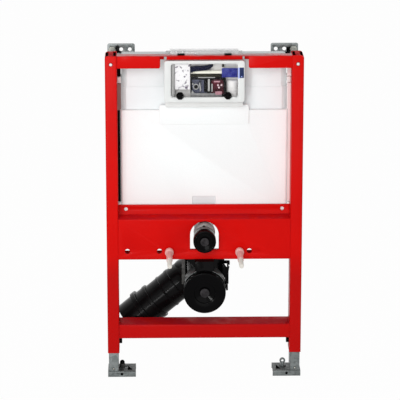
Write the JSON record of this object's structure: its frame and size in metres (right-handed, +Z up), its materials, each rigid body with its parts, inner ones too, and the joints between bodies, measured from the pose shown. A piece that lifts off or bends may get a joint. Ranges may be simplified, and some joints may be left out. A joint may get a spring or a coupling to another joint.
{
  "type": "wall hung toilet frame",
  "caption": "Red steel in-wall frame with slim cistern, clear access cover, flush and waste pipes, pan rods and telescopic feet.",
  "frame": {"origin": "on the floor, under the middle of the frame's overall box", "axes": "+Z up, +X to the right seen from the room, +Y towards the wall behind"},
  "size_m": [0.5, 0.335, 0.858],
  "materials": {
    "red_paint": "satin",
    "galvanised": "satin",
    "black_plastic": "satin",
    "tank_plastic": "satin",
    "foam": "matte",
    "white_plastic": "satin",
    "clear_plastic": "gloss",
    "grey_plastic": "satin",
    "slate_plastic": "satin",
    "crimson_plastic": "satin",
    "navy_plastic": "satin",
    "blue_plastic": "satin",
    "cream_plastic": "satin",
    "card": "matte",
    "zinc_steel": "satin"
  },
  "bodies": {
    "frame": {"left_post": "red_paint", "right_post": "red_paint", "top_rail": "red_paint", "fixing_rail": "red_paint", "bottom_rail": "red_paint", "left_wall_bracket": "galvanised", "right_wall_bracket": "galvanised", "left_post_cap": "black_plastic", "right_post_cap": "black_plastic", "left_leg_clamp": "black_plastic", "right_leg_clamp": "black_plastic", "cover_knobs": "black_plastic", "top_cover_clips": "black_plastic", "flush_housing": "black_plastic", "flush_cap": "black_plastic", "waste_bend": "black_plastic", "waste_pipe": "black_plastic", "waste_socket": "black_plastic", "waste_cap": "black_plastic", "waste_holder": "black_plastic", "left_tank_seal": "black_plastic", "right_tank_seal": "black_plastic", "cistern_tank": "tank_plastic", "access_shaft": "tank_plastic", "cistern_jacket": "foam", "cistern_clips": "white_plastic", "left_rod_sleeve": "white_plastic", "right_rod_sleeve": "white_plastic", "fill_valve": "white_plastic", "front_cover": "clear_plastic", "top_cover": "clear_plastic", "flush_pipe": "grey_plastic", "grey_lifter": "slate_plastic", "red_lifter": "crimson_plastic", "valve_block": "navy_plastic", "service_tag": "blue_plastic", "supply_tube": "cream_plastic", "service_card": "card", "left_fixing_rod": "zinc_steel", "right_fixing_rod": "zinc_steel", "left_bracket_rod": "zinc_steel", "right_bracket_rod": "zinc_steel"},
    "left_leg": {"left_leg": "galvanised", "left_floor_bolt": "black_plastic"},
    "right_leg": {"right_leg": "galvanised", "right_floor_ring": "galvanised"}
  },
  "joints": [
    {"name": "left_leg_slide", "type": "slide", "parent": "frame", "child": "left_leg", "axis": [0, 0, -1], "range_m": [-0.03, 0.17]},
    {"name": "right_leg_slide", "type": "slide", "parent": "frame", "child": "right_leg", "axis": [0, 0, -1], "range_m": [-0.03, 0.17]}
  ]
}
